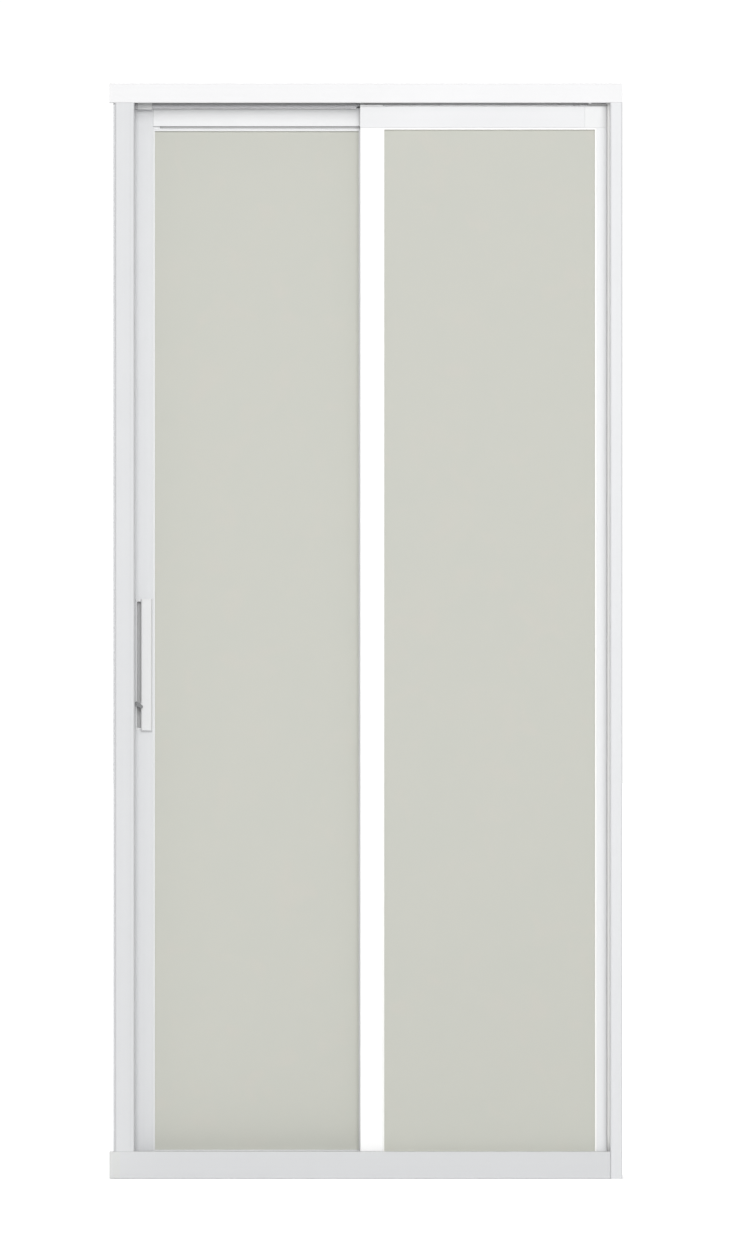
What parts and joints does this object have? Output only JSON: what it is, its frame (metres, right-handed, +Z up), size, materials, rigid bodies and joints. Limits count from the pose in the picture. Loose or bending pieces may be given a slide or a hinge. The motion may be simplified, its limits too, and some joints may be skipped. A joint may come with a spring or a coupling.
{
  "type": "slide and swing door",
  "caption": "Framed door whose left leaf slides behind the right leaf, after which both swing to the rear together about a pivot at the right jamb.",
  "frame": {"origin": "underside of the sill, at the middle of the frame's length and depth", "axes": "+X to the hinge side seen from the front, +Y to the rear (the side the leaves swing to), +Z up"},
  "size_m": [1, 0.09, 2.134],
  "materials": {
    "white_paint": "satin",
    "white_moulding": "satin",
    "infill_board": "matte",
    "track_metal": "satin",
    "steel": "satin",
    "nylon": "matte",
    "pile": "matte",
    "black_rubber": "matte",
    "grey_moulding": "satin"
  },
  "bodies": {
    "frame": {"head": "white_paint", "sill": "white_paint", "sill_end_block": "white_moulding", "lip_end_plugs": "white_moulding", "left_jamb": "white_paint", "right_jamb": "white_paint", "fixed_track": "track_metal", "track_end_clip": "white_moulding", "top_pivot_bracket": "steel", "top_pivot_pin": "steel", "bottom_pivot_bracket": "steel", "bottom_pivot_pin": "steel", "strike_plate": "steel", "left_jamb_seal": "pile", "right_jamb_seal": "pile"},
    "swing_leaf": {"hinge_post": "white_paint", "top_pivot_block": "white_moulding", "bottom_pivot_block": "white_moulding", "top_bush": "nylon", "bottom_bush": "nylon", "meeting_stile": "white_paint", "stile_cap": "white_moulding", "swing_top_rail": "white_paint", "swing_bottom_rail": "white_paint", "swing_panel": "infill_board", "swing_bead": "white_moulding", "swing_track": "track_metal", "guide_rail": "track_metal", "meeting_seal": "pile", "stop_bumpers": "black_rubber"},
    "sliding_leaf": {"lock_stile": "white_paint", "trailing_stile": "white_paint", "slider_top_rail": "white_paint", "slider_bottom_rail": "white_paint", "slider_panel": "infill_board", "slider_bead": "white_moulding", "leading_hanger": "steel", "trailing_hanger": "steel", "leading_roller": "nylon", "trailing_roller": "nylon", "leading_guide_shoe": "nylon", "trailing_guide_shoe": "nylon", "latch": "steel", "front_pull": "white_moulding", "rear_pull": "white_moulding"},
    "snib": {"snib": "grey_moulding"}
  },
  "joints": [
    {"name": "swing", "type": "hinge", "parent": "frame", "child": "swing_leaf", "pos_m": [0.456, 0.004, 0], "axis": [0, 0, -1], "range_deg": [0, 90]},
    {"name": "slide", "type": "slide", "parent": "swing_leaf", "child": "sliding_leaf", "axis": [1, 0, 0], "range_m": [0, 0.4]},
    {"name": "snib_turn", "type": "hinge", "parent": "sliding_leaf", "child": "snib", "pos_m": [-0.44375, 0, 0.923], "axis": [0, 1, 0], "range_deg": [0, 90]}
  ]
}
